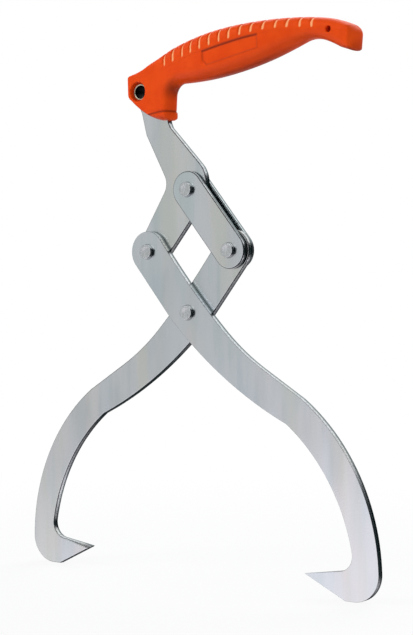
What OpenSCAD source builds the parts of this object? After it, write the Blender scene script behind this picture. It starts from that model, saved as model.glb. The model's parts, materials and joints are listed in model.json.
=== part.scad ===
// Log tongs: two claw arms hung on a riveted parallelogram under a moulded grip.
// The origin is the centre of the hanging eye in the grip's heel.
// X runs along the grip towards its nose, Z is up, and the front face looks towards -Y.
// All sizes are in millimetres and all angles in degrees.

/* [Linkage] */
// Distance between the two pivots of every bar of the parallelogram
link_len = 58; // [50:0.5:70]
// Angle between a bar and the vertical with the tongs open as drawn
open_half_angle = 39.7; // [32:0.1:44]
// Distance from the hanging eye across to the top pivot
eye_to_pivot_x = 44.8; // [40:0.2:50]
// Distance from the hanging eye down to the top pivot
eye_to_pivot_z = 73.8; // [70:0.2:80]
// Thickness of the arms and of the upper plate
arm_t = 5; // [4:0.1:7]
// Thickness of the two links
link_t = 4; // [3:0.1:6]
// Running gap between neighbouring plates
plate_gap = 0.15; // [0.1:0.01:0.3]
// Radius of the round ends of the links
link_end_r = 13.3; // [11:0.1:15]
// Radius of the round top ends of the arms
arm_end_r = 15; // [12:0.1:16]

/* [Arms] */
// Angle between an arm's shank and the vertical that its claw is drawn against
shank_angle = 39.7; // [35:0.1:44]
// Distance of a claw's point from the middle
tip_out = 100; // [85:1:115]
// Depth of a claw's point below the crossing pivot
tip_z = 180; // [160:1:200]
// Height of a claw's point above the foot of the arm
tip_rise = 16; // [12:0.5:20]
// Length of the flat foot under the arm
foot_len = 7; // [3:0.5:10]
// Radius of the outer corner between foot and side
foot_r = 20; // [14:0.5:24]
// Distance of the arm's outermost side from the middle
side_out = 160.5; // [150:0.5:176]
// Width of the arm just above the claw
arm_w = 21.4; // [17:0.1:26]
// Rise of the claw's upper edge from its point to the inner corner
claw_slope = 4; // [1:0.5:7]
// Radius of the inner corner above the claw
claw_fillet_r = 10; // [6:0.5:14]
// Radius of the arm's long outer curve
belly_r = 147; // [135:1:180]
// Radius of the arm's long inner curve
hollow_r = 140; // [128:1:175]
// Distance of the outer shoulder from the middle
shoulder_x = 99.5; // [94:0.5:104]
// Depth of the outer shoulder below the crossing pivot
shoulder_z = 59.5; // [55:0.5:64]
// Distance of the outer elbow from the middle
elbow_x = 48.5; // [45:0.5:52]
// Depth of the outer elbow below the crossing pivot
elbow_z = 28.8; // [26:0.5:32]
// Distance of the inner shoulder from the middle
armpit_x = 86; // [82:0.5:90]
// Depth of the inner shoulder below the crossing pivot
armpit_z = 77.3; // [74:0.5:82]
// Radius of the shank's slightly hollow outer edge
waist_r = 600; // [400:10:1200]
// Distance of the knee in the shank's inner edge from the middle
knee_x = 18; // [14:0.5:22]
// Depth of that knee below the crossing pivot
knee_z = 2; // [0:0.5:4]
// Radius of the bulge between the knee and the inner shoulder
bulge_r = 320; // [250:5:450]
// Length that the grinding takes off the bevelled side of a claw's point
bevel_len = 4.4; // [2:0.2:8]

/* [Rivets] */
// Radius of a rivet's shank
rivet_r = 4; // [3:0.1:5]
// Radius of a rivet's heads
head_r = 5.25; // [5.2:0.05:7]
// Height of a rivet's turned front head
head_h = 2.7; // [2:0.1:4]
// Height of a rivet's closed rear head
tail_h = 2.2; // [1.5:0.1:3.5]
// Rounding of the rim of a rivet's heads
head_edge = 0.5; // [0.2:0.1:0.9]
// Radial running clearance between a shank and its holes
pivot_fit = 0.05; // [0.02:0.01:0.1]
// Gap between a head and the plate under it
head_gap = 0.1; // [0.05:0.01:0.2]

/* [Upper plate] */
// Radius of the plate round the top pivot
crown_r = 14.2; // [12:0.1:16]
// Distance from the top pivot's upright to the plate's waist on the heel side
waist_in = 21; // [20:0.5:26]
// Radius of the corner in the plate's waist
notch_r = 12; // [5:0.5:14]
// Width of the plate where it enters the grip
neck_plate_w = 23.2; // [20:0.2:25]
// Height of the strip of plate that runs through the grip at its root
tang_root_h = 15; // [11:0.5:17]
// Height of the same strip at its far end
tang_end_h = 6; // [4:0.5:7]
// Radius of the plate round the hanging eye
tang_eye_r = 8; // [7:0.5:9]

/* [Grip] */
// Distance from the hanging eye to the heel's rounded end
heel_out = 11.2; // [10:0.2:14]
// Height of the heel's corner above the eye
heel_top = 12.6; // [10.6:0.2:14]
// Distance from the hanging eye to the nose's end
nose_out = 188.5; // [184:0.5:205]
// Height of the grip's crest above the eye
crest_z = 42.2; // [38:0.5:48]
// Distance of the grip's crest from the eye
crest_x = 115; // [100:1:125]
// Height of the back above the eye, where the heel meets the grip
back_z = 27; // [25:0.5:29]
// Distance of that place from the eye
back_x = 24; // [21:0.5:27]
// Distance of the front of the neck from the eye
neck_x = 27.5; // [26:0.5:32]
// Depth of the neck's mouth below the eye
neck_z = 22.6; // [20:0.2:26]
// Radius of the corner between neck and grip
crook_r = 11; // [8:0.5:14]
// Height of the grip's underside above the eye at the neck
belly_z = 4.3; // [2:0.1:6]
// Distance of the highest point of the arch under the nose from the eye
arch_x = 153; // [146:1:158]
// Height of that point above the eye
arch_z = 25.6; // [22:0.2:27]
// Height of the nose's lowest edge above the eye
nose_z = 14.5; // [10:0.5:17]
// Half thickness of the heel and neck
heel_w = 7.5; // [6.5:0.1:9]
// Half thickness of the grip at its middle
grip_w = 12; // [10:0.1:14]
// Half thickness of the nose
nose_w = 9.5; // [8:0.1:11]
// Rounding of the nose's end seen from the side
nose_round = 6; // [3:0.5:8]
// Rounding of the nose's upright edges
nose_edge = 2.5; // [1:0.1:4]
// Rounding of the heel's edges
heel_edge = 2.4; // [1:0.1:3]
// Gap between the plate and the grip moulded round it
tang_fit = 0.1; // [0.05:0.01:0.2]

/* [Grip details] */
// Number of cross grooves over the grip's back
groove_count = 15; // [8:1:16]
// Distance between two grooves
groove_pitch = 9.3; // [8:0.1:9.6]
// Distance of the first groove from the eye
groove_start = 27; // [25:0.5:28]
// Half the width of a groove
groove_half = 2.2; // [1.2:0.1:3]
// Depth of a groove on the back
groove_depth = 0.8; // [0.4:0.1:1.2]
// Distance from the eye to the near end of the plain panel on each side
panel_x = 63; // [55:0.5:70]
// Length of that panel
panel_len = 46; // [30:1:56]
// Height of the panel at its middle
panel_h = 12.4; // [8:0.2:14]
// How much higher the panel is at its far end than at its near end
panel_flare = 4.4; // [0:0.2:6]
// Depth of the panel below the side of the grip
panel_depth = 0.6; // [0.3:0.1:1]
// Radius of the blind moulding holes by the nose
pin_hole_r = 2.2; // [1.5:0.1:2.6]
// Distance of those holes from the eye
pin_hole_x = 170; // [166:0.5:173]
// Height of those holes above the eye
pin_hole_z = 30; // [28:0.5:32]

/* [Hanging eye] */
// Radius of the bore of the metal eyelet
eye_r = 4.8; // [4:0.1:5.2]
// Wall thickness of the eyelet's barrel
eye_wall = 0.6; // [0.4:0.1:1]
// Radius of the eyelet's rolled flanges
eye_flange_r = 6.2; // [6.1:0.1:6.8]
// Thickness of the eyelet's flanges
eye_flange_t = 0.8; // [0.6:0.1:1]
// Radius of the counterbore round each flange
eye_sink_r = 7.1; // [6.9:0.1:7.8]
// Depth of the front counterbore below the side of the heel
eye_sink = 3.9; // [3:0.1:4.2]
// Depth of the rear counterbore, in which the closed end of the eyelet lies flush
eye_back_sink = 0.9; // [0.7:0.1:2]
// Radial clearance round the eyelet's barrel
eye_fit = 0.1; // [0.05:0.01:0.2]

/* [Hidden] */
$fn = 64;
round_steps = 14;
curve_steps = 26;
elbow_share = 3;

plated = [0.78, 0.79, 0.80];
orange = [0.91, 0.31, 0.08];
bronze = [0.55, 0.50, 0.40];

// Pivots in X and Z: A on top, B towards the heel, C towards the nose, D where the arms cross
half_w = link_len * sin(open_half_angle);
half_h = link_len * cos(open_half_angle);
pivot_a = [eye_to_pivot_x, -eye_to_pivot_z];
pivot_b = pivot_a + [-half_w, -half_h];
pivot_c = pivot_a + [half_w, -half_h];
pivot_d = pivot_a + [0, -2 * half_h];

// Faces of the plates in Y: the upper plate and the left arm share the middle layer
mid_front = -arm_t / 2;
mid_back = arm_t / 2;
arm_front = mid_front - plate_gap - arm_t;
link_front = mid_front - plate_gap - link_t;
rear_link_front = mid_back + plate_gap;
rear_link_back = rear_link_front + link_t;
hole_r = rivet_r + pivot_fit;

function unit(v) = v / norm(v);
function left_of(v) = [-v[1], v[0]];
function turn(p, a) = [p[0] * cos(a) - p[1] * sin(a), p[0] * sin(a) + p[1] * cos(a)];
function mix(a, b, t) = a + (b - a) * t;
function smooth(t) = let (u = min(max(t, 0), 1)) u * u * (3 - 2 * u);

// Points along an arc from p to q; a positive radius turns left, a negative one turns right
function arc(p, q, r, n) =
    let (d = q - p,
         half = norm(d) / 2,
         rise = sqrt(max(r * r - half * half, 0)),
         centre = (p + q) / 2 + left_of(unit(d)) * rise * sign(r),
         start = atan2(p[1] - centre[1], p[0] - centre[0]),
         sweep = 2 * asin(min(half / abs(r), 1)) * sign(r))
    [for (i = [0:n]) centre + abs(r) * [cos(start + sweep * i / n), sin(start + sweep * i / n)]];

// Where a line from p touches the circle round c; side is 1 for the left touch, -1 for the right
function touch(p, c, r, side) =
    let (d = c - p, reach = norm(d), a = asin(r / reach))
    p + turn(unit(d), side * a) * sqrt(reach * reach - r * r);

// Arc of radius r that rounds the corner c between the straights from p and to q
function fillet(p, c, q, r, n) =
    let (u = unit(p - c), v = unit(q - c),
         back = r / tan(acos(u * v) / 2),
         bend = v[0] * u[1] - v[1] * u[0])
    arc(c + u * back, c + v * back, r * sign(bend), n);

// Where the line through p along u meets the line through q along v
function meeting(p, u, q, v) =
    p + u * ((q[0] - p[0]) * v[1] - (q[1] - p[1]) * v[0]) / (u[0] * v[1] - u[1] * v[0]);

// Height at x of a smooth curve between two [x, z, slope] knots
function glide(k0, k1, x) =
    let (w = k1[0] - k0[0], t = (x - k0[0]) / w)
    (2 * t * t * t - 3 * t * t + 1) * k0[1] + (t * t * t - 2 * t * t + t) * w * k0[2]
    + (3 * t * t - 2 * t * t * t) * k1[1] + (t * t * t - t * t) * w * k1[2];

// Stands a flat X-Z outline up between two Y faces
module plate(y0, y1) {
    translate([0, y1, 0])
        rotate([90, 0, 0])
            linear_extrude(y1 - y0)
                children();
}

// Round bar along Y from y0 to y1 at a place in X and Z
module bar(at, r, y0, y1) {
    translate([at[0], y1, at[1]])
        rotate([90, 0, 0])
            cylinder(r = r, h = y1 - y0);
}

// Right arm in its own frame: crossing pivot at the origin, claw down and to the right
shank_top = link_len * [-sin(shank_angle), cos(shank_angle)];
foot_z = -tip_z - tip_rise;
tip = [tip_out, -tip_z];
foot_out = [side_out - foot_r, foot_z];
foot_in = foot_out - [foot_len, 0];
side_low = [side_out, foot_z + foot_r];
shoulder = [shoulder_x, -shoulder_z];
elbow = [elbow_x, -elbow_z];
armpit = [armpit_x, -armpit_z];
hollow_low = [side_out - arm_w, foot_z + foot_r + claw_fillet_r + claw_slope];
claw_root = [hollow_low[0] - claw_fillet_r, -tip_z + claw_slope];
claw_arc_r = claw_fillet_r * 1.15;
knee = [-knee_x, -knee_z];
outer_touch = touch(elbow, shank_top, arm_end_r, -1);

// The elbow is rounded by an arc that leaves the shoulder's straight and joins the waist's arc
waist_line = arc(elbow, outer_touch, -waist_r, round_steps);
waist_from = waist_line[elbow_share];
waist_along = unit(waist_line[elbow_share + 1] - waist_line[elbow_share - 1]);
elbow_corner = meeting(shoulder, unit(elbow - shoulder), waist_from, waist_along);
elbow_back = norm(waist_from - elbow_corner);
elbow_r = elbow_back / tan(acos(unit(elbow - shoulder) * waist_along) / 2);
elbow_from = elbow_corner - unit(elbow - shoulder) * elbow_back;
inner_touch = touch(knee, shank_top, arm_end_r, 1);

function arm_outline() = concat(
    [tip],
    [foot_in],
    arc(foot_out, side_low, foot_r, round_steps),
    arc(side_low, shoulder, belly_r, curve_steps),
    arc(elbow_from, waist_from, -elbow_r, round_steps),
    [for (i = [elbow_share + 1:round_steps]) waist_line[i]],
    [inner_touch],
    arc(knee, armpit, bulge_r, curve_steps),
    arc(armpit, hollow_low, -hollow_r, curve_steps),
    arc(hollow_low, claw_root, -claw_arc_r, round_steps)
);

// Flat plate with its two pivot holes; the other arm is the same plate turned round
module arm_plate() {
    difference() {
        plate(0, arm_t)
            difference() {
                union() {
                    polygon(arm_outline());
                    translate(shank_top) circle(r = arm_end_r);
                }
                circle(r = hole_r);
                translate(shank_top) circle(r = hole_r);
            }
        claw_bevel();
    }
}

// Block whose lower face grinds the back of the claw's upper edge off towards the point
module claw_bevel() {
    low = tip + bevel_len * unit(foot_in - tip);
    root = [claw_root[0], arm_t, claw_root[1]];
    point = [tip[0], 0, tip[1]];
    along = unit([low[0], arm_t, low[1]] - root);
    up = unit(cross(along, point - root));
    across = cross(up, along);
    reach = claw_root[0] - tip[0] + bevel_len + arm_t;
    multmatrix([
        [along[0], across[0], up[0], root[0]],
        [along[1], across[1], up[1], root[1]],
        [along[2], across[2], up[2], root[2]]])
        translate([0, -reach, 0])
            cube([reach, 2 * reach, arm_t]);
}

module right_arm() {
    color(plated)
        translate([pivot_d[0], arm_front, pivot_d[1]])
            rotate([0, shank_angle - open_half_angle, 0])
                arm_plate();
}

module left_arm() {
    color(plated)
        translate([pivot_d[0], mid_back, pivot_d[1]])
            rotate([0, open_half_angle - shank_angle, 0])
                rotate([0, 0, 180])
                    arm_plate();
}

// Link with a hole at each end, from the top pivot to the nose side
module link(y0) {
    side = link_end_r * left_of(unit(pivot_c - pivot_a));
    plate(y0, y0 + link_t)
        difference() {
            union() {
                translate(pivot_a) circle(r = link_end_r);
                translate(pivot_c) circle(r = link_end_r);
                polygon([pivot_a + side, pivot_a - side, pivot_c - side, pivot_c + side]);
            }
            translate(pivot_a) circle(r = hole_r);
            translate(pivot_c) circle(r = hole_r);
        }
}

module front_link() {
    color(plated) link(link_front);
}

module rear_link() {
    color(plated) link(rear_link_front);
}

// Rivet with a turned head in front and a closed head behind, over a stack of plates
module rivet(at, y0, y1) {
    stack = y1 - y0 + 2 * head_gap;
    color(plated)
        translate([at[0], y1 + head_gap, at[1]])
            rotate([90, 0, 0])
                rotate_extrude()
                    polygon([
                        [0, -tail_h],
                        [head_r - 2 * head_edge, -tail_h],
                        [head_r, -tail_h + 2 * head_edge],
                        [head_r, 0],
                        [rivet_r, 0],
                        [rivet_r, stack],
                        [head_r, stack],
                        [head_r, stack + head_h - head_edge],
                        [head_r - head_edge, stack + head_h],
                        [0, stack + head_h]]);
}

module top_rivet() {
    rivet(pivot_a, link_front, rear_link_back);
}

module side_rivet_right() {
    rivet(pivot_c, link_front, rear_link_back);
}

module side_rivet_left() {
    rivet(pivot_b, arm_front, mid_back);
}

module crossing_rivet() {
    rivet(pivot_d, arm_front, mid_back);
}

// Grip: heights of its back and its underside along X
heel_rise = 0.25;
hump_rise = 0.75;
back_rise = 0.35;
nose_fall = 0.33;
arch_rise = 0.38;
arch_fall = 0.55;
crook_end = 0.97;
arch_in = 9;
arch_drop = 1.6;
nose_top_in = 8.5;
nose_top_share = 0.73;
nose_top = [nose_out - nose_top_in, mix(nose_z, crest_z, nose_top_share)];
hook_in = 12.5;
hook_h = 3.3;
hook = [nose_out - hook_in, nose_z + hook_h];

function back_at(x) =
    x < back_x ? glide([-heel_out, heel_top, heel_rise], [back_x, back_z, hump_rise], x)
    : x < crest_x ? glide([back_x, back_z, back_rise], [crest_x, crest_z, 0], x)
    : glide([crest_x, crest_z, 0], [nose_top[0], nose_top[1], -nose_fall], x);

function crook_u(x) = min(neck_x + crook_r - x, crook_r * crook_end);
function under_at(x) =
    x < neck_x + crook_r ? belly_z - crook_r + sqrt(crook_r * crook_r - crook_u(x) * crook_u(x))
    : x < arch_x - arch_in
    ? glide([neck_x + crook_r, belly_z, 0], [arch_x - arch_in, arch_z - arch_drop, arch_rise], x)
    : x < arch_x ? glide([arch_x - arch_in, arch_z - arch_drop, arch_rise], [arch_x, arch_z, 0], x)
    : x < hook[0] ? glide([arch_x, arch_z, 0], [hook[0], hook[1], -arch_fall], x)
    : mix(hook[1], nose_z, min((x - hook[0]) / (nose_out - nose_round - hook[0]), 1));

// Half thickness at x: it grows from the neck on, and is full at widen_share of the way
widen_share = 2 / 3;
function width_at(x) =
    x < crest_x
    ? mix(heel_w, grip_w, smooth((x - back_x / 2) / (crest_x - back_x) / widen_share))
    : mix(grip_w, nose_w, smooth((x - crest_x) / (arch_x - crest_x)));

function mid_at(x) = (back_at(x) + under_at(x)) / 2;

// One ring of the grip at x; dip is the depth of a groove there, and the last two
// numbers draw the ring in where the nose rounds off
ring_points = 24;
squareness = 3.2;
function swell(c) = sign(c) * pow(abs(c), 2 / squareness);
function grip_ring(x, dip, in_z, in_y) =
    let (high = (back_at(x) - under_at(x)) / 2 - in_z, wide = width_at(x) - in_y)
    [for (i = [0:ring_points - 1])
        let (a = 360 * i / ring_points, d = dip * sqrt(max(cos(a), 0)))
        [x, (wide - d) * swell(sin(a)), mid_at(x) + (high - d) * swell(cos(a))]];

// Places along the grip and the depth of a groove at each
end_rings = 5;
cap_rings = 4;
cap_angle = 84;
last_x = nose_out - nose_round;
last_groove = groove_start + (groove_count - 1) * groove_pitch + groove_half;
groove_lead = 0.8;
first_x = groove_start - groove_half - groove_lead;
root_len = 5;
root_x = first_x - root_len;
root_in = 3;
stations = concat(
    [[first_x, 0]],
    [for (i = [0:groove_count - 1])
        let (x = groove_start + i * groove_pitch)
        each [[x - groove_half, 0], [x, groove_depth], [x + groove_half, 0]]],
    [for (i = [1:end_rings]) [mix(last_groove, last_x, i / end_rings), 0]]
);

module grip_bar() {
    root = grip_ring(root_x, 0, root_in, root_in);
    body = [for (s = stations) grip_ring(s[0], s[1], 0, 0)];
    cap = [for (i = [1:cap_rings])
        let (a = cap_angle * i / cap_rings, push = nose_round * sin(a))
        [for (p = grip_ring(last_x, 0, nose_round * (1 - cos(a)), nose_edge * (1 - cos(a))))
            [p[0] + push, p[1], p[2]]]];
    tip_ring = cap[cap_rings - 1];
    skin(concat([root], body, cap), ring_points,
         [[root_x, 0, mid_at(root_x)], [tip_ring[0][0], 0, mid_at(last_x)]]);
}

// Closes a stack of equal rings of n points into one solid, each end a fan round its hub
module skin(rings, n, hubs) {
    count = len(rings);
    points = concat([for (ring = rings) each ring], hubs);
    sides = [for (k = [0:count - 2], i = [0:n - 1])
        let (a = k * n + i, b = k * n + (i + 1) % n, c = a + n, d = b + n)
        each [[a, b, d], [a, d, c]]];
    top = (count - 1) * n;
    ends = [for (i = [0:n - 1])
        let (j = (i + 1) % n)
        each [[j, i, count * n], [top + i, top + j, count * n + 1]]];
    polyhedron(points = points, faces = concat(sides, ends), convexity = 8);
}

// Heel and neck: a thick plate with rounded edges, whose front edge ends inside the grip
mouth_r = 3;
mouth_in = 6;
keel_r = 60;
keel_steps = 8;
heel_low_r = 8;
heel_low_in = 2.2;
heel_low_z = 6.5;
heel_side_z = 2;
heel_corner_r = 3.2;
corner_steps = 4;
heel_top_steps = 8;
heel_root = root_x + root_in;
heel_lap = 4;
heel_sink = 2.5;
heel_low = [-heel_out + heel_low_in, -heel_low_z];
mouth_low = [neck_x - mouth_in, -neck_z];
lap_x = heel_root + heel_lap;
heel_top_end = -heel_out + heel_corner_r * 1.6;
keel = arc(heel_low, mouth_low, keel_r, keel_steps);
function heel_outline() = concat(
    arc([-heel_out, -heel_side_z], heel_low, heel_low_r, corner_steps - 1),
    [for (i = [1:keel_steps]) keel[i]],
    fillet(mouth_low, [neck_x, -neck_z], [neck_x, 0], mouth_r, corner_steps),
    [[neck_x, belly_z + heel_lap], [lap_x, back_at(lap_x) - heel_sink]],
    [for (i = [0:heel_top_steps])
        let (x = mix(heel_root, heel_top_end, i / heel_top_steps)) [x, back_at(x)]],
    fillet([-heel_out + heel_corner_r * 2, heel_top + heel_corner_r * 2 * heel_rise],
           [-heel_out, heel_top], [-heel_out, 0], heel_corner_r, corner_steps)
);

heel_line = heel_outline();
heel_count = len(heel_line);
heel_inward = [for (i = [0:heel_count - 1])
    left_of(unit(heel_line[(i + 1) % heel_count] - heel_line[(i + heel_count - 1) % heel_count]))];
function heel_inset(d) = [for (i = [0:heel_count - 1]) heel_line[i] + heel_inward[i] * d];

// Flat plate whose rim is rounded by a stack of rings, from rim_angle off the flat to the side
heel_rings = 3;
rim_angle = 15;
rim_lap = 0.3;
module heel_plate() {
    front = [for (k = [0:heel_rings])
        let (a = mix(rim_angle, 90, k / heel_rings))
        [for (p = heel_inset(heel_edge * (1 - sin(a)))) [p[0], -heel_w + heel_edge * (1 - cos(a)), p[1]]]];
    back = [for (k = [heel_rings:-1:0]) [for (p = front[k]) [p[0], -p[1], p[2]]]];
    hub_y = front[0][0][1];
    skin(concat(front, back), heel_count, [[neck_x / 2, hub_y, 0], [neck_x / 2, -hub_y, 0]]);
    plate(-heel_w, heel_w)
        polygon(heel_inset(heel_edge * (1 - sin(rim_angle)) - rim_lap));
}

// Strip of the plate that runs along the inside of the grip, past the moulding holes
tang_over = 3;
tang_end = [pin_hole_x + tang_over, pin_hole_z];
tang_steps = 12;
tang_bend = 6;
tang_sink = 2;
tang_start = neck_x + crook_r - tang_sink;
function tang_edge(side) = [for (i = [0:tang_steps])
    let (t = i / tang_steps, x = mix(tang_start, tang_end[0], t),
         z = mix(mid_at(x) - tang_sink, tang_end[1], pow(t, tang_bend)))
    [x, z + side * mix(tang_root_h, tang_end_h, t) / 2]];

// Plate that runs from the left side pivot past the top pivot, up the neck and round the eye
front_wall = 4;
back_wall_x = 7;
back_wall_z = 9;
mouth_wall = 2.7;
mouth_sink = 1;
neck_slant = 0.25;
neck_in_z = 8.1;
neck_out_z = 8.4;
neck_bend_x = 1.8;
neck_bend_z = 4.1;
waist_z = 4.7;
crown_side_z = 3;
crown_top_x = 8.6;
crown_top_z = 18.6;
crown_arc_r = 20;
crown_steps = 6;
notch_steps = 8;
module upper_outline() {
    mouth_right = [neck_x - mouth_wall, -neck_z - mouth_sink];
    mouth_left = mouth_right - [neck_plate_w, 0];
    neck_left = mouth_left + neck_in_z * [-neck_slant, 1];
    shoulder_left = mouth_left + neck_out_z * [neck_slant, -1];
    waist = pivot_a + [-waist_in, waist_z];
    side = left_of(unit(pivot_b - pivot_a));
    low_touch = touch(waist, pivot_b, link_end_r, -1);
    crown_side = pivot_a + [crown_r, crown_side_z];
    crown_top = pivot_a + [crown_top_x, crown_top_z];
    back_edge = tang_edge(1);
    polygon(concat(
        [low_touch, pivot_b + link_end_r * side, pivot_a + crown_r * side],
        arc(crown_side, crown_top, crown_arc_r, crown_steps),
        [mouth_right + [neck_bend_x, -neck_bend_z], mouth_right],
        [[neck_x - front_wall, -crook_r / 2], [neck_x - front_wall, belly_z]],
        tang_edge(-1),
        [for (i = [tang_steps:-1:0]) back_edge[i]],
        [[back_x - back_wall_x, back_z - back_wall_z], [0, tang_eye_r]],
        [-tang_eye_r * unit([1, 1]), neck_left],
        fillet(shoulder_left, waist, low_touch, notch_r, notch_steps)
    ));
    polygon([neck_left, shoulder_left, waist, mouth_right]);
    translate(pivot_b) circle(r = link_end_r);
    translate(pivot_a) circle(r = crown_r);
    circle(r = tang_eye_r);
    translate(tang_end) circle(r = tang_end_h / 2);
}

module upper_plate() {
    color(plated)
        plate(mid_front, mid_back)
            difference() {
                upper_outline();
                translate(pivot_a) circle(r = hole_r);
                translate(pivot_b) circle(r = hole_r);
                circle(r = eye_r + eye_wall + eye_fit);
            }
}

// Shallow four-sided recess on both sides of the grip
panel_sink = 2.8;
module panel_cut() {
    far_x = panel_x + panel_len;
    near = [panel_x, mid_at(panel_x) - panel_sink];
    far = [far_x, mid_at(far_x) - panel_sink];
    low = [0, (panel_h - panel_flare / 2) / 2];
    high = [0, (panel_h + panel_flare / 2) / 2];
    for (y = [-grip_w - 1, grip_w - panel_depth])
        plate(y, y + 1 + panel_depth)
            polygon([near - low, far - high, far + high, near + low]);
}

module grip() {
    barrel_r = eye_r + eye_wall + eye_fit;
    color(orange)
        difference() {
            union() {
                grip_bar();
                heel_plate();
            }
            plate(mid_front - tang_fit, mid_back + tang_fit)
                offset(delta = tang_fit) upper_outline();
            bar([0, 0], barrel_r, -heel_w - 1, heel_w + 1);
            bar([0, 0], eye_sink_r, -heel_w - 1, -heel_w + eye_sink);
            bar([0, 0], eye_sink_r, heel_w - eye_back_sink, heel_w + 1);
            bar([pin_hole_x, pin_hole_z], pin_hole_r, -nose_w - 1, mid_front);
            bar([pin_hole_x, pin_hole_z], pin_hole_r, mid_back, nose_w + 1);
            panel_cut();
        }
}

// Metal eyelet: a thin barrel with a rolled flange seated in each counterbore
module eyelet() {
    front_seat = -heel_w + eye_sink;
    back_seat = heel_w - eye_back_sink;
    front_end = front_seat - eye_flange_t;
    back_end = back_seat + eye_flange_t;
    color(bronze)
        difference() {
            union() {
                bar([0, 0], eye_r + eye_wall, front_end, back_end);
                bar([0, 0], eye_flange_r, front_end, front_seat);
                bar([0, 0], eye_flange_r, back_seat, back_end);
            }
            bar([0, 0], eye_r, front_end - 1, back_end + 1);
        }
}

grip();
upper_plate();
front_link();
rear_link();
right_arm();
left_arm();
top_rivet();
side_rivet_left();
side_rivet_right();
crossing_rivet();
eyelet();
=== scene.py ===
import math

import bmesh
import bpy
import numpy as np
from mathutils import Matrix, Vector
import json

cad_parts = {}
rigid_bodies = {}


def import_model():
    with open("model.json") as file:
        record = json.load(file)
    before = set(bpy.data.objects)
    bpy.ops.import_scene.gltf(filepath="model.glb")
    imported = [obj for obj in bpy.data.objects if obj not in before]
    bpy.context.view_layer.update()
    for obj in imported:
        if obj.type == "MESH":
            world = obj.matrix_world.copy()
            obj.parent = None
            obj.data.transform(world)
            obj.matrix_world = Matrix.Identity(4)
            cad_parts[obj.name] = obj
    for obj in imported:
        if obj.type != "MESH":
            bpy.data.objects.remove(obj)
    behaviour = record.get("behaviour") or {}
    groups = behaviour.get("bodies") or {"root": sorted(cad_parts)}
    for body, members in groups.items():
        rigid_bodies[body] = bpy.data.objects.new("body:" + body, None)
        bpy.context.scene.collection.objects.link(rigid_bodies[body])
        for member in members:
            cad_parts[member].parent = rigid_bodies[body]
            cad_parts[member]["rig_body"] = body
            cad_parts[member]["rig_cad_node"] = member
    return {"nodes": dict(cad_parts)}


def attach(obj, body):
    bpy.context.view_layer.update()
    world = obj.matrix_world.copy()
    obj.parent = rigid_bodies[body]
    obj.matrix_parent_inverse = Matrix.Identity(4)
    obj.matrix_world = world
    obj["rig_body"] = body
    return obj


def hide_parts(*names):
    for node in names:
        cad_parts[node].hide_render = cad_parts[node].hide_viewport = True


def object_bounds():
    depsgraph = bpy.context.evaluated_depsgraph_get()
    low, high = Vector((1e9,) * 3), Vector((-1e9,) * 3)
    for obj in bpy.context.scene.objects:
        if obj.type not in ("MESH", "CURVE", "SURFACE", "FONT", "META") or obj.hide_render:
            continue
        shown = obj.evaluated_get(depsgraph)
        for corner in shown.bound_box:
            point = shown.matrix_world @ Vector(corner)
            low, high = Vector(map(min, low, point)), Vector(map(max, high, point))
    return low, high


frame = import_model()
cad_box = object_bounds()
cad_nodes = frame["nodes"]
scene = bpy.context.scene
scene.view_settings.view_transform = "Standard"

# Camera
# It stands to the right of the tongs, a little above the middle of their height, with a long
# lens. The picture is 413 by 635, and the sensor's width lies along the picture's height.
turn, lift, roll = math.radians(37.573), math.radians(1.584), math.radians(-0.668)
aim, reach = Vector((0.056177, 0.0, -0.166758)), 1.23718
focal_px, picture_h_px, sensor_mm = 1705.6, 635.0, 36.0
back = Vector((math.sin(turn) * math.cos(lift), -math.cos(turn) * math.cos(lift), math.sin(lift)))
side = Vector((math.cos(turn), math.sin(turn), 0.0))
up = back.cross(side)
side, up = math.cos(roll) * side + math.sin(roll) * up, math.cos(roll) * up - math.sin(roll) * side
lens = bpy.data.cameras.new("camera")
lens.sensor_width = sensor_mm
lens.lens = focal_px * sensor_mm / picture_h_px
lens.clip_start, lens.clip_end = 0.05, 60.0
camera = bpy.data.objects.new("camera", lens)
camera_axes = Matrix((side, up, back)).transposed().to_4x4()
camera.matrix_world = Matrix.Translation(aim + back * reach) @ camera_axes
scene.collection.objects.link(camera)
scene.camera = camera


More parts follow.
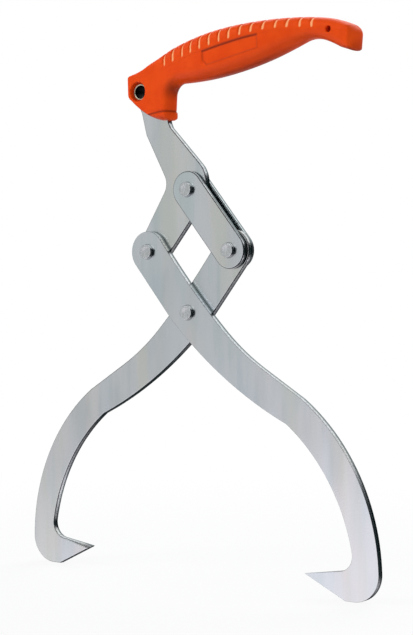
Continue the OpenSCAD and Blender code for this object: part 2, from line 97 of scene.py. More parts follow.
# Light and floor
# A product table: the camera sees plain white all round, while the plating mirrors a dark room
# with lit boards. Three soft lamps light the plastic and throw the shadow on the floor.
class Wire:
    """A socket of a shader tree. Arithmetic on it adds Math nodes to the tree."""

    def __init__(self, tree, socket=None):
        self.tree, self.socket = tree, socket

    def node(self, kind, settings=None, inputs=None, out=0):
        """Adds a node: its settings first, then the values or wires of its inputs."""
        made = self.tree.nodes.new(kind)
        for name, value in (settings or {}).items():
            setattr(made, name, value)
        for name, value in (inputs or {}).items():
            if isinstance(value, Wire):
                self.tree.links.new(value.socket, made.inputs[name])
            else:
                made.inputs[name].default_value = value
        return Wire(self.tree, made.outputs[out]) if len(made.outputs) else None

    def math(self, operation, *values):
        """One Math node on wires or numbers."""
        return self.node("ShaderNodeMath", {"operation": operation}, dict(enumerate(values)))

    def __add__(self, other):
        return self.math("ADD", self, other)

    def __sub__(self, other):
        return self.math("SUBTRACT", self, other)

    def __rsub__(self, other):
        return self.math("SUBTRACT", other, self)

    def __mul__(self, other):
        return self.math("MULTIPLY", self, other)

    def __truediv__(self, other):
        return self.math("DIVIDE", self, other)

    __radd__, __rmul__ = __add__, __mul__

    def ease(self, low, high, bottom=0.0, top=1.0):
        """Smooth change from bottom to top as the wire goes from low to high."""
        return self.node(
            "ShaderNodeMapRange",
            {"interpolation_type": "SMOOTHSTEP"},
            {"Value": self, "From Min": low, "From Max": high, "To Min": bottom, "To Max": top},
        )

    def tint(self, first, second):
        """The colour first where this wire is 0 and second where it is 1."""
        first, second = (c if isinstance(c, Wire) else (*c, 1.0) for c in (first, second))
        return self.node("ShaderNodeMix", {"data_type": "RGBA"}, {0: self, 6: first, 7: second}, out=2)

    def parts(self):
        """The x, y and z of a wire that carries a vector."""
        split = self.node("ShaderNodeSeparateXYZ", inputs={"Vector": self}).socket.node
        return [Wire(self.tree, split.outputs[axis]) for axis in "XYZ"]

    def place(self):
        """Where a point lies on its own piece, in metres."""
        return self.node("ShaderNodeTexCoord", out="Object")


studio = bpy.data.worlds.new("studio")
scene.world = studio
studio.use_nodes = True
studio.node_tree.nodes.clear()
sky = Wire(studio.node_tree)
seen = sky.node("ShaderNodeLightPath", out="Is Camera Ray")
gloss = sky.node("ShaderNodeLightPath", out="Is Glossy Ray")
clear = sky.node("ShaderNodeLightPath", out="Is Transmission Ray")
to_x, to_y, to_z = sky.node("ShaderNodeTexCoord", out="Generated").parts()
level_reach = sky.math("SQRT", to_x * to_x + to_y * to_y + 0.0004)
flat_x, flat_y = to_x / level_reach, to_y / level_reach

# The boards are soft patches of directions. The front one is lit in two bands with a slanting
# shade line between them; the plates' faces show it, and their cut edges show the others.
height = to_z - flat_x * 0.45
glow = height.ease(0.245, 0.285, 0.63, 0.78) + height.ease(0.19, 0.10, 0.0, 0.74)
front_board = (flat_x * -0.61 - flat_y * 0.79).ease(0.58, 0.80)
front_board = front_board * to_z.ease(0.84, 0.68) * to_z.ease(-0.92, -0.70)
rear_board = (flat_x * -0.35 + flat_y * 0.94).ease(0.87, 0.93) * to_z.ease(-0.5, -0.2)
high_board = (to_y + to_z).ease(0.75, 0.95) * to_z.ease(0.35, 0.42) * to_y.ease(0.2, 0.4)
low_board = to_x.ease(0.25, 0.42) * to_y.ease(0.3, 0.5) * to_z.ease(-0.42, -0.52)
slot_board = to_z.ease(0.36, 0.48) * to_z.ease(0.82, 0.72)
slot_board = slot_board * to_y.ease(-0.55, -0.70) * to_x.ease(0.44, 0.32)
under_board = (to_x * 0.25 + to_y * 0.79 - to_z * 0.56).ease(0.90, 0.98)
ceiling = to_z.ease(0.82, 0.94)
dark_room, matt_fill = 0.035, 0.38
room = front_board * glow
for board in (
    rear_board * 0.6,
    high_board * 1.7,
    low_board * 2.0,
    slot_board * 2.6,
    under_board * 0.4,
    ceiling * 0.5,
):
    room = sky.math("MAXIMUM", room, board)
room = room + dark_room
hue = height.ease(0.10, 0.24).tint((0.985, 0.975, 1.035), (0.965, 1.0, 1.0))
hue = room.ease(0.16, 0.03).tint(hue, (0.50, 0.95, 1.0))
shown = sky.math("MAXIMUM", seen, clear)
hue = shown.tint(hue, (1.0, 1.0, 1.0))
level = sky.math("MAXIMUM", shown, gloss * room)
level = level + (1.0 - sky.math("MAXIMUM", shown, gloss)) * matt_fill
backdrop = sky.node("ShaderNodeBackground", inputs={"Color": hue, "Strength": level})
sky.node("ShaderNodeOutputWorld", inputs={"Surface": backdrop})


def lamp(name, stand, target, size, power):
    """A square soft lamp that shines from stand towards target and isn't mirrored."""
    data = bpy.data.lights.new(name, "AREA")
    data.shape, data.size, data.energy = "SQUARE", size, power
    made = bpy.data.objects.new(name, data)
    aimed = (Vector(target) - Vector(stand)).to_track_quat("-Z", "Y").to_matrix().to_4x4()
    made.matrix_world = Matrix.Translation(stand) @ aimed
    made.visible_glossy = False
    scene.collection.objects.link(made)


lamp("rear_softbox", (-0.10, 1.05, 0.85), (0.05, 0.0, -0.12), 0.9, 16.0)
lamp("front_softbox", (-1.10, -1.25, 0.95), (0.05, 0.0, -0.15), 1.0, 27.0)
lamp("right_softbox", (1.60, -0.35, 0.35), (0.05, 0.0, 0.0), 0.8, 8.0)


def new_finish(name):
    """An empty material, and the wire that its shader tree grows from."""
    made = bpy.data.materials.new(name)
    made.use_nodes = True
    made.node_tree.nodes.clear()
    return made, Wire(made.node_tree)


floor_half, floor_z = 14.0, cad_box[0].z
floor_mesh = bpy.data.meshes.new("floor")
floor_corners = [(x * floor_half, y * floor_half, floor_z) for x, y in ((-1, -1), (1, -1), (1, 1), (-1, 1))]
floor_mesh.from_pydata(floor_corners, [], [(0, 1, 2, 3)])
floor = bpy.data.objects.new("floor", floor_mesh)
floor.visible_glossy = False
scene.collection.objects.link(floor)
table_white, skin = new_finish("table_white")
white = skin.node("ShaderNodeEmission", inputs={"Strength": 1.0})
matt = skin.node("ShaderNodeBsdfDiffuse", inputs={"Color": (0.62, 0.62, 0.62, 1.0)})
far = skin.node("ShaderNodeVectorMath", {"operation": "LENGTH"}, {0: skin.place()}, out="Value")
share = skin.node("ShaderNodeLightPath", out="Is Camera Ray") * far.ease(0.35, 0.75, 0.90, 1.0)
table = skin.node("ShaderNodeMixShader", inputs={0: share, 1: matt, 2: white})
skin.node("ShaderNodeOutputMaterial", inputs={"Surface": table})
floor_mesh.materials.append(table_white)


# Upper plate
# Blanked from 5 mm steel and zinc plated: the neck comes out of the grip, widens round the
# top pivot and ends at the left side pivot. Its cut edges are slightly rolled by the punch.
def coat(skin, bumps, strength, looks):
    """Ends a finish: a shader with the looks given, over fine bumps in metres."""
    relief = skin.node("ShaderNodeBump", inputs={"Strength": strength, "Distance": 1.0, "Height": bumps})
    shader = skin.node("ShaderNodeBsdfPrincipled", inputs={**looks, "Normal": relief})
    skin.node("ShaderNodeOutputMaterial", inputs={"Surface": shader})


def zinc(name, rear_y, seed, pivots=(), bright=0.0, torn_span=None):
    """Bright zinc plating over blanked steel, with faint blue, green and warm patches.
    rear_y is the plate's rear face: the cut edge is torn and dark beside it, and sheared bright
    in front; between the two heights of torn_span the torn part is wider. Painted bounce light
    makes the rear faces lighter and bluish, and the whole plate too, to the share given after
    pivots. Painted shade darkens a band over the arms' shanks and outlines the rolled edges, and
    a painted contact shadow rings each of the pivots."""
    finish, skin = new_finish(name)
    place = skin.place()
    x, y, z = place.parts()

    def cloud(scale, stretch, detail, shift):
        """Soft noise, drawn out along an axis where its stretch is under 1."""
        moved = {"Vector": place, "Location": (shift, shift, shift), "Scale": stretch}
        moved = skin.node("ShaderNodeMapping", inputs=moved)
        settings = {"Vector": moved, "Scale": scale, "Detail": detail, "Roughness": 0.55}
        return skin.node("ShaderNodeTexNoise", inputs=settings)

    wash = cloud(24.0, (1.0, 1.0, 0.5), 3.0, seed)
    drift = cloud(15.0, (1.0, 1.0, 0.7), 2.0, seed + 9.0)
    streak = cloud(70.0, (1.0, 1.0, 0.10), 4.0, seed + 3.0)
    band = cloud(34.0, (1.0, 1.0, 0.07), 2.0, seed + 12.0)
    speck = cloud(900.0, (1.0, 1.0, 1.0), 2.0, seed + 5.0)
    cool, plain, green = (0.47, 0.515, 0.535), (0.545, 0.555, 0.56), (0.49, 0.535, 0.53)
    warm, shank_shade_grey = (0.585, 0.555, 0.545), (0.44, 0.455, 0.46)
    straw, blue, violet = (0.575, 0.58, 0.53), (0.50, 0.555, 0.585), (0.64, 0.63, 0.655)
    steel = wash.ease(0.34, 0.52).tint(cool, plain)
    steel = drift.ease(0.50, 0.66).tint(steel, green)
    steel = wash.ease(0.54, 0.68).tint(steel, warm)
    # Painted shade: a band of height over the arms' shanks is painted darker.
    shank = z.ease(-0.245, -0.215, 1.0, 0.0) * z.ease(-0.30, -0.265)
    steel = (shank * 0.5).tint(steel, shank_shade_grey)
    steel = (band.ease(0.48, 0.60) * 0.7).tint(steel, straw)
    steel = (band.ease(0.50, 0.38) * 0.6).tint(steel, blue)
    steel = (streak.ease(0.35, 0.65) * 0.5).tint(steel, violet)

    facing_y = skin.node("ShaderNodeNewGeometry", out="Normal").parts()[1]
    across = skin.math("ABSOLUTE", facing_y)
    rear_face = facing_y.ease(0.5, 0.9)
    edge = 1.0 - across.ease(0.78, 0.97)
    # Painted shade: a thin dark outline on the rolled edges, stronger higher up and a little rougher.
    painted_outline = across.ease(0.22, 0.45) * across.ease(0.992, 0.95)
    torn_y, torn_from, torn_to = y + streak * 0.0008, rear_y - 0.0021, rear_y - 0.0016
    if torn_span:
        high, low = torn_span
        wider = z.ease(high, high - 0.008) * z.ease(low, low + 0.006)
        torn_y, torn_from, torn_to = torn_y + wider * 0.0010, rear_y - 0.0019, rear_y - 0.0015
    torn = torn_y.ease(torn_from, torn_to) * edge
    teal, sheared, torn_grey = (0.60, 0.69, 0.70), (0.20, 0.20, 0.21), (0.055, 0.075, 0.08)
    painted_outline_grey, contact_shadow_grey = (0.06, 0.065, 0.07), (0.10, 0.11, 0.12)
    # Painted bounce light: the rear faces, and the whole plate to the share given, are painted lighter and
    # bluish green.
    steel = skin.math("MAXIMUM", rear_face * 0.8, bright).tint(steel, teal)
    steel = (edge * (0.3 + speck.ease(0.4, 0.6) * 0.5)).tint(steel, sheared)
    steel = (torn * 0.85).tint(steel, torn_grey)
    # The painted dark outline on the rolled edges.
    steel = (painted_outline * z.ease(-0.29, -0.22, 0.25, 0.75)).tint(steel, painted_outline_grey)
    # Painted contact shadow: a dark ring on the plate just round each rivet head.
    for pivot_x, pivot_z in pivots:
        from_x, from_z = x - pivot_x, z - pivot_z
        from_pivot = skin.math("SQRT", from_x * from_x + from_z * from_z)
        steel = (from_pivot.ease(0.0060, 0.0056) * 0.5).tint(steel, contact_shadow_grey)
    rough = 0.17 + wash * 0.10 + edge * 0.04 + painted_outline * 0.15
    bumps = speck * 0.00003 + streak * 0.00006 + edge * speck * 0.00006
    coat(skin, bumps, 0.6, {"Base Color": steel, "Metallic": 1.0, "Roughness": rough})
    return finish


def soften(shape, sharp_angle):
    """Shades a mesh smooth, but for the edges that turn by more than sharp_angle degrees."""
    for face in shape.faces:
        face.smooth = True
    for line in shape.edges:
        folded = len(line.link_faces) == 2 and line.calc_face_angle() > math.radians(sharp_angle)
        line.smooth = not folded


rolled_edge, shortest_side = 0.0010, 0.00025


def dress_plate(name, body, finish):
    """A copy of a blanked plate with its sheared edges rounded off, in place of the plain one."""
    plate = cad_nodes[name].copy()
    plate.data = cad_nodes[name].data.copy()
    plate.name = name + "_plated"
    # The copy is a piece of its own, so it gives up the marks of the CAD node.
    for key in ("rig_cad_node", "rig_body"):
        if key in plate:
            del plate[key]
    plate.parent = None
    plate.matrix_world = Matrix.Identity(4)
    scene.collection.objects.link(plate)
    shape = bmesh.new()
    shape.from_mesh(plate.data)
    bmesh.ops.remove_doubles(shape, verts=shape.verts, dist=shortest_side)
    flat_angle, cut_angle = math.radians(0.4), math.radians(35)
    bmesh.ops.dissolve_limit(
        shape, angle_limit=flat_angle, verts=shape.verts, edges=shape.edges, delimit=set()
    )
    cut = [e for e in shape.edges if len(e.link_faces) == 2 and e.calc_face_angle() > cut_angle]
    bmesh.ops.bevel(
        shape,
        geom=cut,
        offset=rolled_edge,
        offset_type="OFFSET",
        segments=3,
        profile=0.5,
        affect="EDGES",
        clamp_overlap=True,
    )
    soften(shape, 40)
    plate.data.clear_geometry()
    shape.to_mesh(plate.data)
    shape.free()
    plate.data.materials.clear()
    plate.data.materials.append(finish)
    flat_faces = plate.modifiers.new("flat_faces", "WEIGHTED_NORMAL")
    flat_faces.keep_sharp = True
    flat_faces.weight = 80
    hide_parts(name)
    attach(plate, body)


plate_t, gap = 0.005, 0.00015
middle_front, middle_back = -plate_t / 2, plate_t / 2
dress_plate("upper_plate", "frame", zinc("zinc_upper_plate", middle_back, 1.0))

# Links
# Two straight bars of 4 mm steel with round ends, zinc plated, one in front of and one behind
# the upper plate and the left arm. Of the rear one little more than its edge shows.
link_t, link_len, half_angle = 0.004, 0.058, math.radians(39.7)
across_x, down_z = link_len * math.sin(half_angle), link_len * math.cos(half_angle)
top_pivot = (0.0448, -0.0738)
right_pivot = (top_pivot[0] + across_x, top_pivot[1] - down_z)
front_layer_back = middle_front - gap
link_front, link_back = front_layer_back - link_t, middle_back + gap + link_t
torn_heights = (-0.075, -0.114)
front_zinc = zinc(
    "zinc_front_link", front_layer_back, 2.0, (top_pivot, right_pivot), torn_span=torn_heights
)
dress_plate("front_link", "links", front_zinc)
# The rear link is painted lighter all over: painted bounce light in the gap between the plates.
dress_plate("rear_link", "links", zinc("zinc_rear_link", link_back, 4.0, bright=0.8))

# Claw arms
# Both are the same blank, cut from 5 mm plate and zinc plated. One is turned round, so that the
# ground bevel of its claw shows in front; the other's is at the back.
arm_front = front_layer_back - plate_t
left_pivot = (top_pivot[0] - across_x, top_pivot[1] - down_z)
crossing_pivot = (top_pivot[0], top_pivot[1] - 2 * down_z)
right_zinc = zinc("zinc_right_arm", front_layer_back, 6.0, (left_pivot, crossing_pivot))
dress_plate("right_arm", "right_claw", right_zinc)
dress_plate("left_arm", "left_claw", zinc("zinc_left_arm", middle_back, 8.0))


# Rivets
# Turned steel rivets, zinc plated: a flat cylindrical head in front with faint turning rings,
# and a head closed by the riveting tool behind.
def lathe(name, profile, count=64):
    """An object turned about the Y axis from (radius, y) points, in metres."""
    verts, faces = [], []
    for r, y in profile:
        for i in range(count):
            a = 2 * math.pi * i / count
            verts.append((r * math.cos(a), y, r * math.sin(a)))
    for k in range(len(profile) - 1):
        near, far = k * count, (k + 1) * count
        for i in range(count):
            j = (i + 1) % count
            faces.append((near + i, near + j, far + j, far + i))
    mesh = bpy.data.meshes.new(name)
    mesh.from_pydata(verts, [], faces)
    shape = bmesh.new()
    shape.from_mesh(mesh)
    bmesh.ops.remove_doubles(shape, verts=shape.verts, dist=1e-7)
    bmesh.ops.recalc_face_normals(shape, faces=shape.faces)
    soften(shape, 38)
    shape.to_mesh(mesh)
    shape.free()
    made = bpy.data.objects.new(name, mesh)
    scene.collection.objects.link(made)
    return made


rivet_zinc, skin = new_finish("rivet_zinc")
place = skin.place()
x, _, z = place.parts()
from_axis = skin.math("SQRT", x * x + z * z)
turning_rings = skin.math("SINE", from_axis * 9500.0)
speck = skin.node("ShaderNodeTexNoise", inputs={"Vector": place, "Scale": 700.0, "Detail": 3.0})
steel = speck.ease(0.35, 0.7).tint((0.45, 0.455, 0.46), (0.53, 0.54, 0.545))
looks = {"Base Color": steel, "Metallic": 1.0, "Roughness": 0.2 + speck * 0.14}
coat(skin, turning_rings * 0.00002 + speck * 0.00008, 0.5, looks)

head_r, head_h, rim_r = 0.00525, 0.0027, 0.0004
tail_h, shank_r, clear_of_plate = 0.0022, 0.004, 0.0001


def rivet(name, pivot, front_y, back_y, body):
    """One rivet through the plates between front_y and back_y."""
    head_seat, tail_seat = front_y - clear_of_plate, back_y + clear_of_plate
    face_y = head_seat - head_h
    face = [
        (0.0, face_y + 0.00010),
        (0.0030, face_y + 0.00008),
        (0.0034, face_y + 0.00001),
        (0.0040, face_y),
        (0.0046, face_y + 0.00002),
    ]
    rim = [
        (head_r - rim_r + rim_r * math.sin(a), face_y + rim_r - rim_r * math.cos(a))
        for a in (0.0, 0.4, 0.8, 1.2, math.pi / 2)
    ]
    shank = [(head_r, head_seat), (shank_r, head_seat), (shank_r, tail_seat)]
    tail = [
        (head_r * math.cos(a) ** 0.6, tail_seat + tail_h * math.sin(a) ** 0.8)
        for a in (0.0, 0.3, 0.6, 0.9, 1.2, 1.4)
    ]
    made = lathe(name + "_turned", face + rim + shank + tail + [(0.0, tail_seat + tail_h)])
    made.data.materials.append(rivet_zinc)
    made.location = (pivot[0], 0.0, pivot[1])
    bpy.context.view_layer.update()
    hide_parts(name)
    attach(made, body)


rivet("top_rivet", top_pivot, link_front, link_back, "frame")
rivet("side_rivet_right", right_pivot, link_front, link_back, "links")
rivet("side_rivet_left", left_pivot, arm_front, middle_back, "frame")
rivet("crossing_rivet", crossing_pivot, arm_front, middle_back, "right_claw")

# Eyelet
# A drawn sheet-metal eyelet closed through heel and plate, grey-gold, with rolled flanges
# that lie in the counterbores on both sides.
barrel_in, barrel_out, flange_t = 0.0048, 0.0054, 0.0008
front_seat, rear_seat = 0.0036, 0.0066
rolled = [
    (0.0001, 0.6),
    (0.00035, 0.85),
    (0.0007, 1.0),
    (0.0010, 0.98),
    (0.0013, 0.7),
    (0.0014, 0.3),
    (0.0014, 0.02),
]
front_flange = [(barrel_in + out, -front_seat - flange_t * high) for out, high in rolled]
rear_flange = [(barrel_in + out, rear_seat + flange_t * high) for out, high in rolled]
bore = [(barrel_in, -front_seat), (barrel_in, rear_seat)]
profile = [(barrel_out, -front_seat)] + front_flange[::-1] + bore + rear_flange
eyelet = lathe("eyelet_rolled", profile + [(barrel_out, rear_seat), (barrel_out, -front_seat)])
eyelet_metal, skin = new_finish("eyelet_metal")
place = skin.place()
x, _, z = place.parts()
speck = skin.node("ShaderNodeTexNoise", inputs={"Vector": place, "Scale": 500.0, "Detail": 3.0})
# Painted shade: the inside of the bore is painted near black and made rougher.
in_bore = skin.math("SQRT", x * x + z * z).ease(0.00505, 0.00485)
tarnish_and_bore_shade = speck.ease(0.4, 0.7).tint((0.50, 0.43, 0.30), (0.34, 0.31, 0.25))
tarnish_and_bore_shade = in_bore.tint(tarnish_and_bore_shade, (0.012, 0.010, 0.009))
rough = 0.22 + speck * 0.2 + in_bore * 0.3
coat(skin, speck * 0.0001, 0.4, {"Base Color": tarnish_and_bore_shade, "Metallic": 1.0, "Roughness": rough})
eyelet.data.materials.append(eyelet_metal)
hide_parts("eyelet")
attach(eyelet, "frame")


# Grip
# One body of orange plastic moulded round the plate: a flat heel with the hanging eye, a neck
# with a collar at its mouth, a ribbed handle and a hooked nose. Sizes here are in millimetres.
def rise(x, low, high):
    """Smooth change from 0 to 1 as x goes from low to high; high may be the smaller one."""
    t = np.clip((x - low) / (high - low), 0.0, 1.0)
    return t * t * (3.0 - 2.0 * t)


def glide(start, end, x):
    """Height at x of a smooth curve between two (x, height, slope) knots."""
    w = end[0] - start[0]
    t = (x - start[0]) / w
    return (
        (2 * t**3 - 3 * t**2 + 1) * start[1]
        + (t**3 - 2 * t**2 + t) * w * start[2]
        + (3 * t**2 - 2 * t**3) * end[1]
        + (t**3 - t**2) * w * end[2]
    )


def along(knots, x):
    """Height at x, for an array of x, of the smooth curve through the knots."""
    x = np.asarray(x, float)
    out = glide(knots[0], knots[1], x)
    for a, b in zip(knots[1:], knots[2:]):
        out = np.where(x > a[0], glide(a, b, x), out)
    return out


# The crest of the back, the underside from the crook behind the neck to the nose, and the line
# on the side below which the ribs end.
back_knots = [
    (-11.2, 12.7, 0.20),
    (2.0, 16.2, 0.38),
    (14.0, 22.3, 0.53),
    (24.0, 27.2, 0.42),
    (60.0, 37.0, 0.20),
    (115.0, 42.0, 0.01),
    (160.0, 39.4, -0.14),
    (182.0, 33.8, -0.42),
]
under_knots = [(38.5, 3.5, 0.01), (144.0, 24.0, 0.38), (153.0, 25.6, 0.0), (176.0, 17.8, -0.55)]
border_knots = [(20.0, 13.0, 0.28), (66.0, 24.6, 0.2), (122.0, 32.3, 0.02), (172.0, 28.6, -0.12)]
crook_x, crook_z = under_knots[0][:2]
keel_end, mouth_x, neck_x = 21.0, 28.9, 40.0


def corner(p, c, q, r, count):
    """Points of the arc of radius r that rounds the corner c between p and q."""
    p, c, q = (np.array(v, float) for v in (p, c, q))
    u, v = (p - c) / np.linalg.norm(p - c), (q - c) / np.linalg.norm(q - c)
    half_turn = math.acos(np.clip(u @ v, -1, 1)) / 2
    middle = c + (u + v) / np.linalg.norm(u + v) * r / math.sin(half_turn)
    a, b = c + u * r / math.tan(half_turn) - middle, c + v * r / math.tan(half_turn) - middle
    arc = np.array([a * (1 - t) + b * t for t in np.linspace(0, 1, count)])
    return middle + arc / np.linalg.norm(arc, axis=1)[:, None] * r


def silhouette():
    """The grip's outline in X and Z, anticlockwise from the heel's left side."""
    heel_low = corner((-11.2, 4.0), (-10.9, -5.2), (22.0, -22.6), 6.0, 6)
    keel_x, keel_z = heel_low[-1]
    xs = np.linspace(keel_x, keel_end - 0.5, 14)[1:]
    t = (xs - keel_x) / (keel_end - keel_x)
    keel = np.c_[xs, keel_z + (-22.5 - keel_z) * t - 11.0 * t * (1 - t)]
    mouth = corner((18.0, -22.6), (mouth_x, -22.7), (mouth_x, -8.0), 2.4, 6)
    lip_notch = [(mouth_x, -17.2), (mouth_x - 0.1, -16.4), (mouth_x, -15.6)]
    crook = corner((29.3, -14.0), (29.9, crook_z), (60.0, crook_z), 9.0, 12)
    xs = np.linspace(neck_x, 176.0, 90)
    under = np.c_[xs, along(under_knots, xs)]
    lip = corner((176.0, 17.8), (187.2, 14.0), (188.8, 22.0), 2.0, 6)
    nose = corner((188.0, 16.0), (188.9, 31.2), (176.0, 35.8), 7.5, 10)
    xs = np.linspace(179.0, -6.5, 120)
    crest = np.c_[xs, along(back_knots, xs)]
    heel_top = corner((-6.0, 13.7), (-11.3, 12.6), (-11.2, 3.0), 3.0, 6)
    return np.vstack([heel_low, keel, mouth, lip_notch, crook, under, lip, nose, crest, heel_top])


outline = silhouette()


def inside(x, z):
    """Distance in from the silhouette, negative outside it."""
    px, pz = np.ravel(x), np.ravel(z)
    near = np.full(len(px), 1e9)
    crossings = np.zeros(len(px), int)
    for (ax, az), (bx, bz) in zip(outline, np.roll(outline, -1, axis=0)):
        dx, dz = bx - ax, bz - az
        t = np.clip(((px - ax) * dx + (pz - az) * dz) / (dx * dx + dz * dz + 1e-12), 0, 1)
        near = np.minimum(near, (px - ax - t * dx) ** 2 + (pz - az - t * dz) ** 2)
        if abs(dz) > 1e-12:
            crossings += ((az > pz) != (bz > pz)) & (px < (pz - az) / dz * dx + ax)
    return (np.sqrt(near) * np.where(crossings % 2 == 1, 1.0, -1.0)).reshape(np.shape(x))


# Where each notch meets the crest, read off the photograph: the moulded pitch isn't quite even.
rib_x = [24.4, 32.8, 42.6, 50.9, 59.6, 68.2, 77.2, 85.7]
rib_x += [95.4, 105.0, 115.3, 125.6, 134.8, 145.3, 154.8, 165.0]
rib_count, rib_depth, rib_lean, first_gap = len(rib_x) - 1, 0.9, 0.08, 8.0
slope_share, wall_share = 0.26, 0.10


def rib_phase(x, z):
    """Which rib a place belongs to and how far across it, as one number."""
    reach = x - rib_lean * (along(back_knots, x) - z)
    return np.interp(reach, [rib_x[0] - first_gap] + rib_x, np.arange(-1.0, rib_count + 1))


def ribs(x, z):
    """Depth of the notches over the back: steep on the heel side, sloping on the nose side."""
    phase = rib_phase(x, z)
    cell = np.floor(phase)
    t = phase - cell
    slope = np.clip(1.0 - t / slope_share, 0.0, 1.0) ** 1.4 * (cell >= 0) * (cell < rib_count)
    wall = np.clip((t - (1.0 - wall_share)) / wall_share, 0.0, 1.0) ** 1.5
    wall = wall * (cell >= -1) * (cell < rib_count - 1)
    return rib_depth * (slope + wall) * rise(z - along(border_knots, x), 0.2, 6.2)


def smooth_max(value, pocket, soft=0.3):
    """The plastic less a pocket, with a soft edge between them."""
    blend = np.clip(0.5 + 0.5 * (pocket - value) / soft, 0.0, 1.0)
    return value * (1 - blend) + pocket * blend + soft * blend * (1 - blend)


mm_per_m = 1000.0
heel_half, handle_half, nose_thinner = 7.5, 12.0, 2.5
rim_z = -15.8
counterbore_r, hole_r = 7.1, 5.5
pin_x, pin_z, pin_r, pin_floor = 170.0, 30.0, 2.2, 2.4
panel_from, panel_to, panel_corner, panel_depth, panel_line = 63.0, 112.3, 4.5, 0.45, 0.5


def body_value(x, y, z, d):
    """Below 0 inside the plastic and above 0 outside it, about as many as the millimetres to the
    surface; d is the distance in from the silhouette."""
    ay = np.abs(y)
    border = along(border_knots, x)

    # Half width and roundness of the section: flat heel and neck, then the swelling handle.
    top = along(back_knots, x)
    low = np.where(x < crook_x, crook_z, along(under_knots, np.clip(x, crook_x, 178.0)))
    middle, tall = (top + low) / 2, (top - low) / 2
    swelling = rise(x, 12.0, 70.0) * np.where(x < neck_x, rise(z, -6.0, 8.0), 1.0)
    wide = heel_half + (handle_half - heel_half) * swelling
    wide = wide - nose_thinner * rise(x, 112.0, 157.0)
    upper = rise(z - middle, -3.0, 3.0)
    round_handle = np.minimum(9.5 * upper + 10.5 * (1 - upper), 0.93 * tall)
    neck_share = rise(x, 9.0, 22.0)
    collar = rise(z, rim_z, rim_z - 0.9) * rise(x, 0.0, 8.0)
    round_neck = 2.4 + 4.6 * neck_share - 2.6 * collar * neck_share
    rounding = round_neck + (round_handle - round_neck) * rise(x, 22.0, 44.0)
    rounding = rounding + (4.6 - rounding) * rise(x, 176.0, 184.0)
    collar_line = np.exp(-(((z - rim_z - 0.2) / 0.55) ** 2)) * rise(x, 3.0, 7.0) * (x < neck_x)
    wide = wide + 0.35 * collar - 0.45 * collar_line

    # The section itself: between a circle and a square where the handle is fullest.
    p = 2.0 + 0.5 * rise(x, 30.0, 60.0)
    q = np.clip(1.0 - d / rounding, 0.0, None)
    s = ay / wide
    value = (q**p + s**p + 1e-12) ** (1.0 / p)
    value = (value - 1.0) * (q * rounding + s * wide) / (q + s + 1e-9)

    # Notches, the step along their lower ends, and the bare panel with its shadow line.
    step = 0.22 * rise(z - border, 0.0, 0.8) * rise(x, 24.0, 32.0) * rise(x, 176.0, 168.0)
    value = value + ribs(x, z) - step
    low_edge = z - 13.7 - (x - 67.6) * 0.19
    heel_edge, nose_edge, top_edge = x - panel_from, panel_to - x, border - 0.4 - z
    bend = np.hypot(np.clip(panel_corner - low_edge, 0, None), np.clip(panel_corner - heel_edge, 0, None))
    panel = rise(np.minimum(np.minimum(nose_edge, top_edge), panel_corner - bend), 0.0, 0.7)
    line = np.exp(-(((top_edge - 0.3) / 0.5) ** 2)) * rise(heel_edge, 0.0, 2.0) * rise(nose_edge, 0.0, 2.0)
    value = value + (panel_depth * panel + panel_line * line) * rise(ay, 5.0, 7.0)

    # The hanging eye's counterbores and hole, and the blind holes left by the mould's pins.
    from_eye = np.hypot(x, z)
    seat = ay - np.where(y < 0, front_seat, rear_seat) * mm_per_m
    value = smooth_max(value, np.minimum(counterbore_r - from_eye, seat))
    value = np.maximum(value, hole_r - from_eye)
    from_pin = np.hypot(x - pin_x, z - pin_z)
    pin_hole = np.minimum(pin_r - from_pin, ay - pin_floor)
    return np.where(from_pin < 4.0, np.maximum(value, pin_hole), value)


def skin_of(field, axes):
    """Quads over the zero surface of a field on a grid: one point for each cell it crosses."""
    sign = field < 0
    n = np.array(field.shape) - 1
    total = np.zeros(tuple(n) + (3,))
    count = np.zeros(tuple(n))
    base = np.stack(np.meshgrid(*[np.arange(m) for m in n], indexing="ij"), -1).astype(float)
    for axis in range(3):
        others = [k for k in range(3) if k != axis]
        for a, b in ((0, 0), (0, 1), (1, 0), (1, 1)):
            low = [0, 0, 0]
            low[others[0]], low[others[1]] = a, b
            high = list(low)
            high[axis] = 1
            f0 = field[tuple(slice(low[k], low[k] + n[k]) for k in range(3))]
            f1 = field[tuple(slice(high[k], high[k] + n[k]) for k in range(3))]
            cross = (f0 < 0) != (f1 < 0)
            point = base + np.array(low, float)
            point[..., axis] += np.where(cross, f0 / np.where(cross, f0 - f1, 1.0), 0.0)
            total += point * cross[..., None]
            count += cross
    used = count > 0
    index = np.full(tuple(n), -1)
    index[used] = np.arange(used.sum())
    points = total[used] / count[used][:, None]
    points = np.stack([axes[k][0] + points[:, k] * (axes[k][1] - axes[k][0]) for k in range(3)], 1)
    quads = []
    for axis in range(3):
        u, v = (axis + 1) % 3, (axis + 2) % 3
        grid = [slice(0, n[k]) for k in range(3)]
        grid[u], grid[v] = slice(1, n[u]), slice(1, n[v])
        shifted = list(grid)
        shifted[axis] = slice(1, n[axis] + 1)
        here, there = sign[tuple(grid)], sign[tuple(shifted)]
        where = np.argwhere(here != there)
        inward = here[tuple(where.T)]
        where[:, u] += 1
        where[:, v] += 1
        ring = []
        for du, dv in ((0, 0), (1, 0), (1, 1), (0, 1)):
            cell = where.copy()
            cell[:, u] -= du
            cell[:, v] -= dv
            ring.append(index[tuple(cell.T)])
        ring = np.stack(ring, 1)
        ring[~inward] = ring[~inward][:, ::-1]
        quads.append(ring)
    return points, np.vstack(quads)


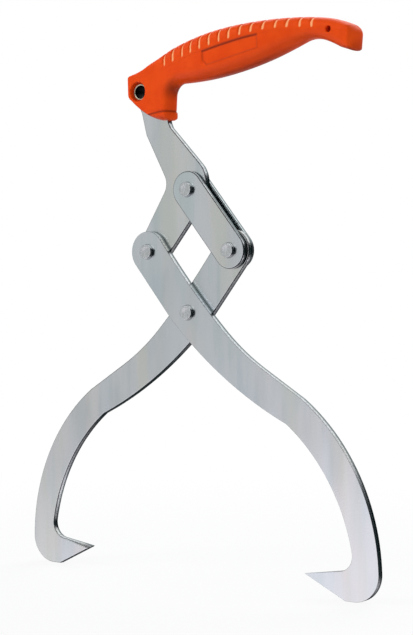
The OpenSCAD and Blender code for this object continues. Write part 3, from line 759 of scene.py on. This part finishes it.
pitch = 0.6
spans = ((-13.0, 191.0), (-13.5, 13.5), (-25.0, 45.0))
gx, gy, gz = (np.arange(start, end + pitch, pitch) for start, end in spans)
depth = inside(*np.meshgrid(gx, gz, indexing="ij"))
depth = np.repeat(depth[:, None, :], len(gy), axis=1)
field = body_value(*np.meshgrid(gx, gy, gz, indexing="ij"), depth)
points, quads = skin_of(field, (gx, gy, gz))
nudge, passes, longest_stride = 0.05, 3, 0.3
for _ in range(passes):
    value = body_value(*points.T, inside(points[:, 0], points[:, 2]))
    slope = np.zeros_like(points)
    for k in range(3):
        moved = points.copy()
        moved[:, k] += nudge
        slope[:, k] = (body_value(*moved.T, inside(moved[:, 0], moved[:, 2])) - value) / nudge
    stride = np.clip(value / np.maximum((slope**2).sum(1), 0.25), -longest_stride, longest_stride)
    points = points - 0.8 * slope * stride[:, None]

grip_mesh = bpy.data.meshes.new("grip_moulded")
grip_mesh.from_pydata((points / mm_per_m).tolist(), [], quads.tolist())
grip_mesh.validate()
shape = bmesh.new()
shape.from_mesh(grip_mesh)
bmesh.ops.recalc_face_normals(shape, faces=shape.faces)
soften(shape, 180)
shape.to_mesh(grip_mesh)
shape.free()
grip = bpy.data.objects.new("grip_moulded", grip_mesh)
scene.collection.objects.link(grip)

# How strongly each point of the mesh belongs to the sloping wall of a notch, which has a painted
# highlight, or to painted shade along lines, in hollows and on undersides, where it is darker.
px, pz = points[:, 0], points[:, 2]
phase = rib_phase(px, pz)
from_wall = np.abs(phase - np.floor(phase) - 0.12)
ribbed = (phase >= 0) * (phase < rib_count) * rise(pz - along(border_knots, px), 0.6, 3.6)
notch_wall = np.clip(1.0 - from_wall / 0.23, 0.0, 1.0) * ribbed


def drawn(route, width):
    """1 on a line drawn on the grip's side, fading over its width."""
    near = np.full(len(px), 1e9)
    for (ax, az), (bx, bz) in zip(route, route[1:]):
        dx, dz = bx - ax, bz - az
        t = np.clip(((px - ax) * dx + (pz - az) * dz) / (dx * dx + dz * dz), 0, 1)
        near = np.minimum(near, np.hypot(px - ax - t * dx, pz - az - t * dz))
    return np.exp(-((near / width) ** 2))


# Painted shade: dark lines along the collar's lip and round the panel, and dark patches in the crook behind
# the neck, along the belly's lower edge and under the nose.
lip_line = [(8.0, -18.2), (12.1, -17.2), (21.6, -16.0), (27.2, -15.9), (31.0, -15.9)]
panel_top = [(x, along(border_knots, x) - 0.3) for x in np.linspace(64.0, 112.0, 9)]
panel_low = [panel_top[-1], (panel_to, 22.3), (67.6, 14.0), (64.3, 17.6), panel_top[0]]
crook_hollow = np.exp(-((px - 31.5) ** 2 + (pz + 1.0) ** 2) / 26.0)
belly = rise(inside(px, pz), 1.8, 0.0) * rise(pz, 25.0, 13.0) * rise(px, 50.0, 80.0)
under_nose = rise(pz, 18.0, 15.0) * rise(px, 166.0, 176.0)
painted_shades = (
    drawn(lip_line, 0.75) * 0.9,
    drawn(panel_top, 0.8) * 0.8,
    drawn(panel_low, 0.7) * 0.4,
    crook_hollow * 0.75,
    belly * 0.5,
    under_nose * 0.6,
)
for mark, values in (("notch_wall", notch_wall), ("painted_shade", np.max(painted_shades, axis=0))):
    grip_mesh.attributes.new(mark, "FLOAT", "POINT").data.foreach_set("value", values)

orange_plastic, skin = new_finish("orange_plastic")
place = skin.place()
x, y, _ = place.parts()
mottle = skin.node("ShaderNodeTexNoise", inputs={"Vector": place, "Scale": 90.0, "Detail": 3.0})
fine = skin.node("ShaderNodeTexNoise", inputs={"Vector": place, "Scale": 1500.0, "Detail": 2.0})
notch_highlight = skin.node("ShaderNodeAttribute", {"attribute_name": "notch_wall"}, out="Fac").ease(0.25, 0.8)
painted_shade = skin.node("ShaderNodeAttribute", {"attribute_name": "painted_shade"}, out="Fac")
colour = mottle.ease(0.3, 0.7).tint((0.78, 0.060, 0.003), (0.83, 0.072, 0.004))
# Painted highlight: the notches' sloping walls are painted a pale, creamy orange.
colour = (notch_highlight * 0.95).tint(colour, (0.95, 0.42, 0.18))
# Painted shade: a deep red-brown where the shade mark is set.
colour = painted_shade.tint(colour, (0.20, 0.018, 0.003))
nose_lines = skin.math("SINE", (x - skin.math("ABSOLUTE", y) * 0.8) * 5200.0) * x.ease(0.1775, 0.181)
looks = {"Base Color": colour, "Roughness": 0.34 + mottle * 0.08, "Specular IOR Level": 0.14}
coat(skin, fine * 0.00010 + nose_lines * 0.00007, 0.4, looks)
grip_mesh.materials.append(orange_plastic)
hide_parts("grip")
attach(grip, "frame")
